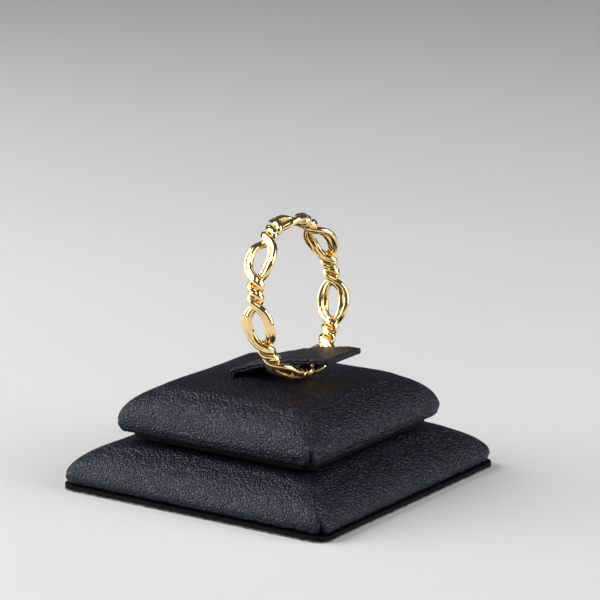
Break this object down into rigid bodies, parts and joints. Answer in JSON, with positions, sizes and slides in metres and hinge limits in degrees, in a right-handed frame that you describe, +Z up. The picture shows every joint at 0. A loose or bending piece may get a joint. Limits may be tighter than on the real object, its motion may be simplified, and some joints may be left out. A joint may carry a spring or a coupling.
{
  "type": "infinity ring on display stand",
  "caption": "Polished gold ring of paired wires twisted into open infinity eyes, held upright under the clip of a tiered padded leather display stand.",
  "frame": {"origin": "middle of the stand's underside, on the surface that it stands on", "axes": "+Z up; +X along the stand's front edge, from the clip's root to its free end; +Y from the front edge to the back; the ring's bore points along +X, leant back 7 degrees and turned 5"},
  "size_m": [0.0386, 0.0386, 0.0329],
  "materials": {
    "gold": "mirror-polished yellow gold",
    "clip_leather": "satin black leatherette, fine grain",
    "cushion_leather": "satin black leatherette, pebbled and finely wrinkled",
    "board": "matt black board with a lighter cut edge"
  },
  "bodies": {
    "root": {"ring_band": "gold", "ring_clip": "clip_leather", "upper_cushion": "cushion_leather", "upper_board": "board", "lower_cushion": "cushion_leather", "base_board": "board"}
  },
  "joints": []
}
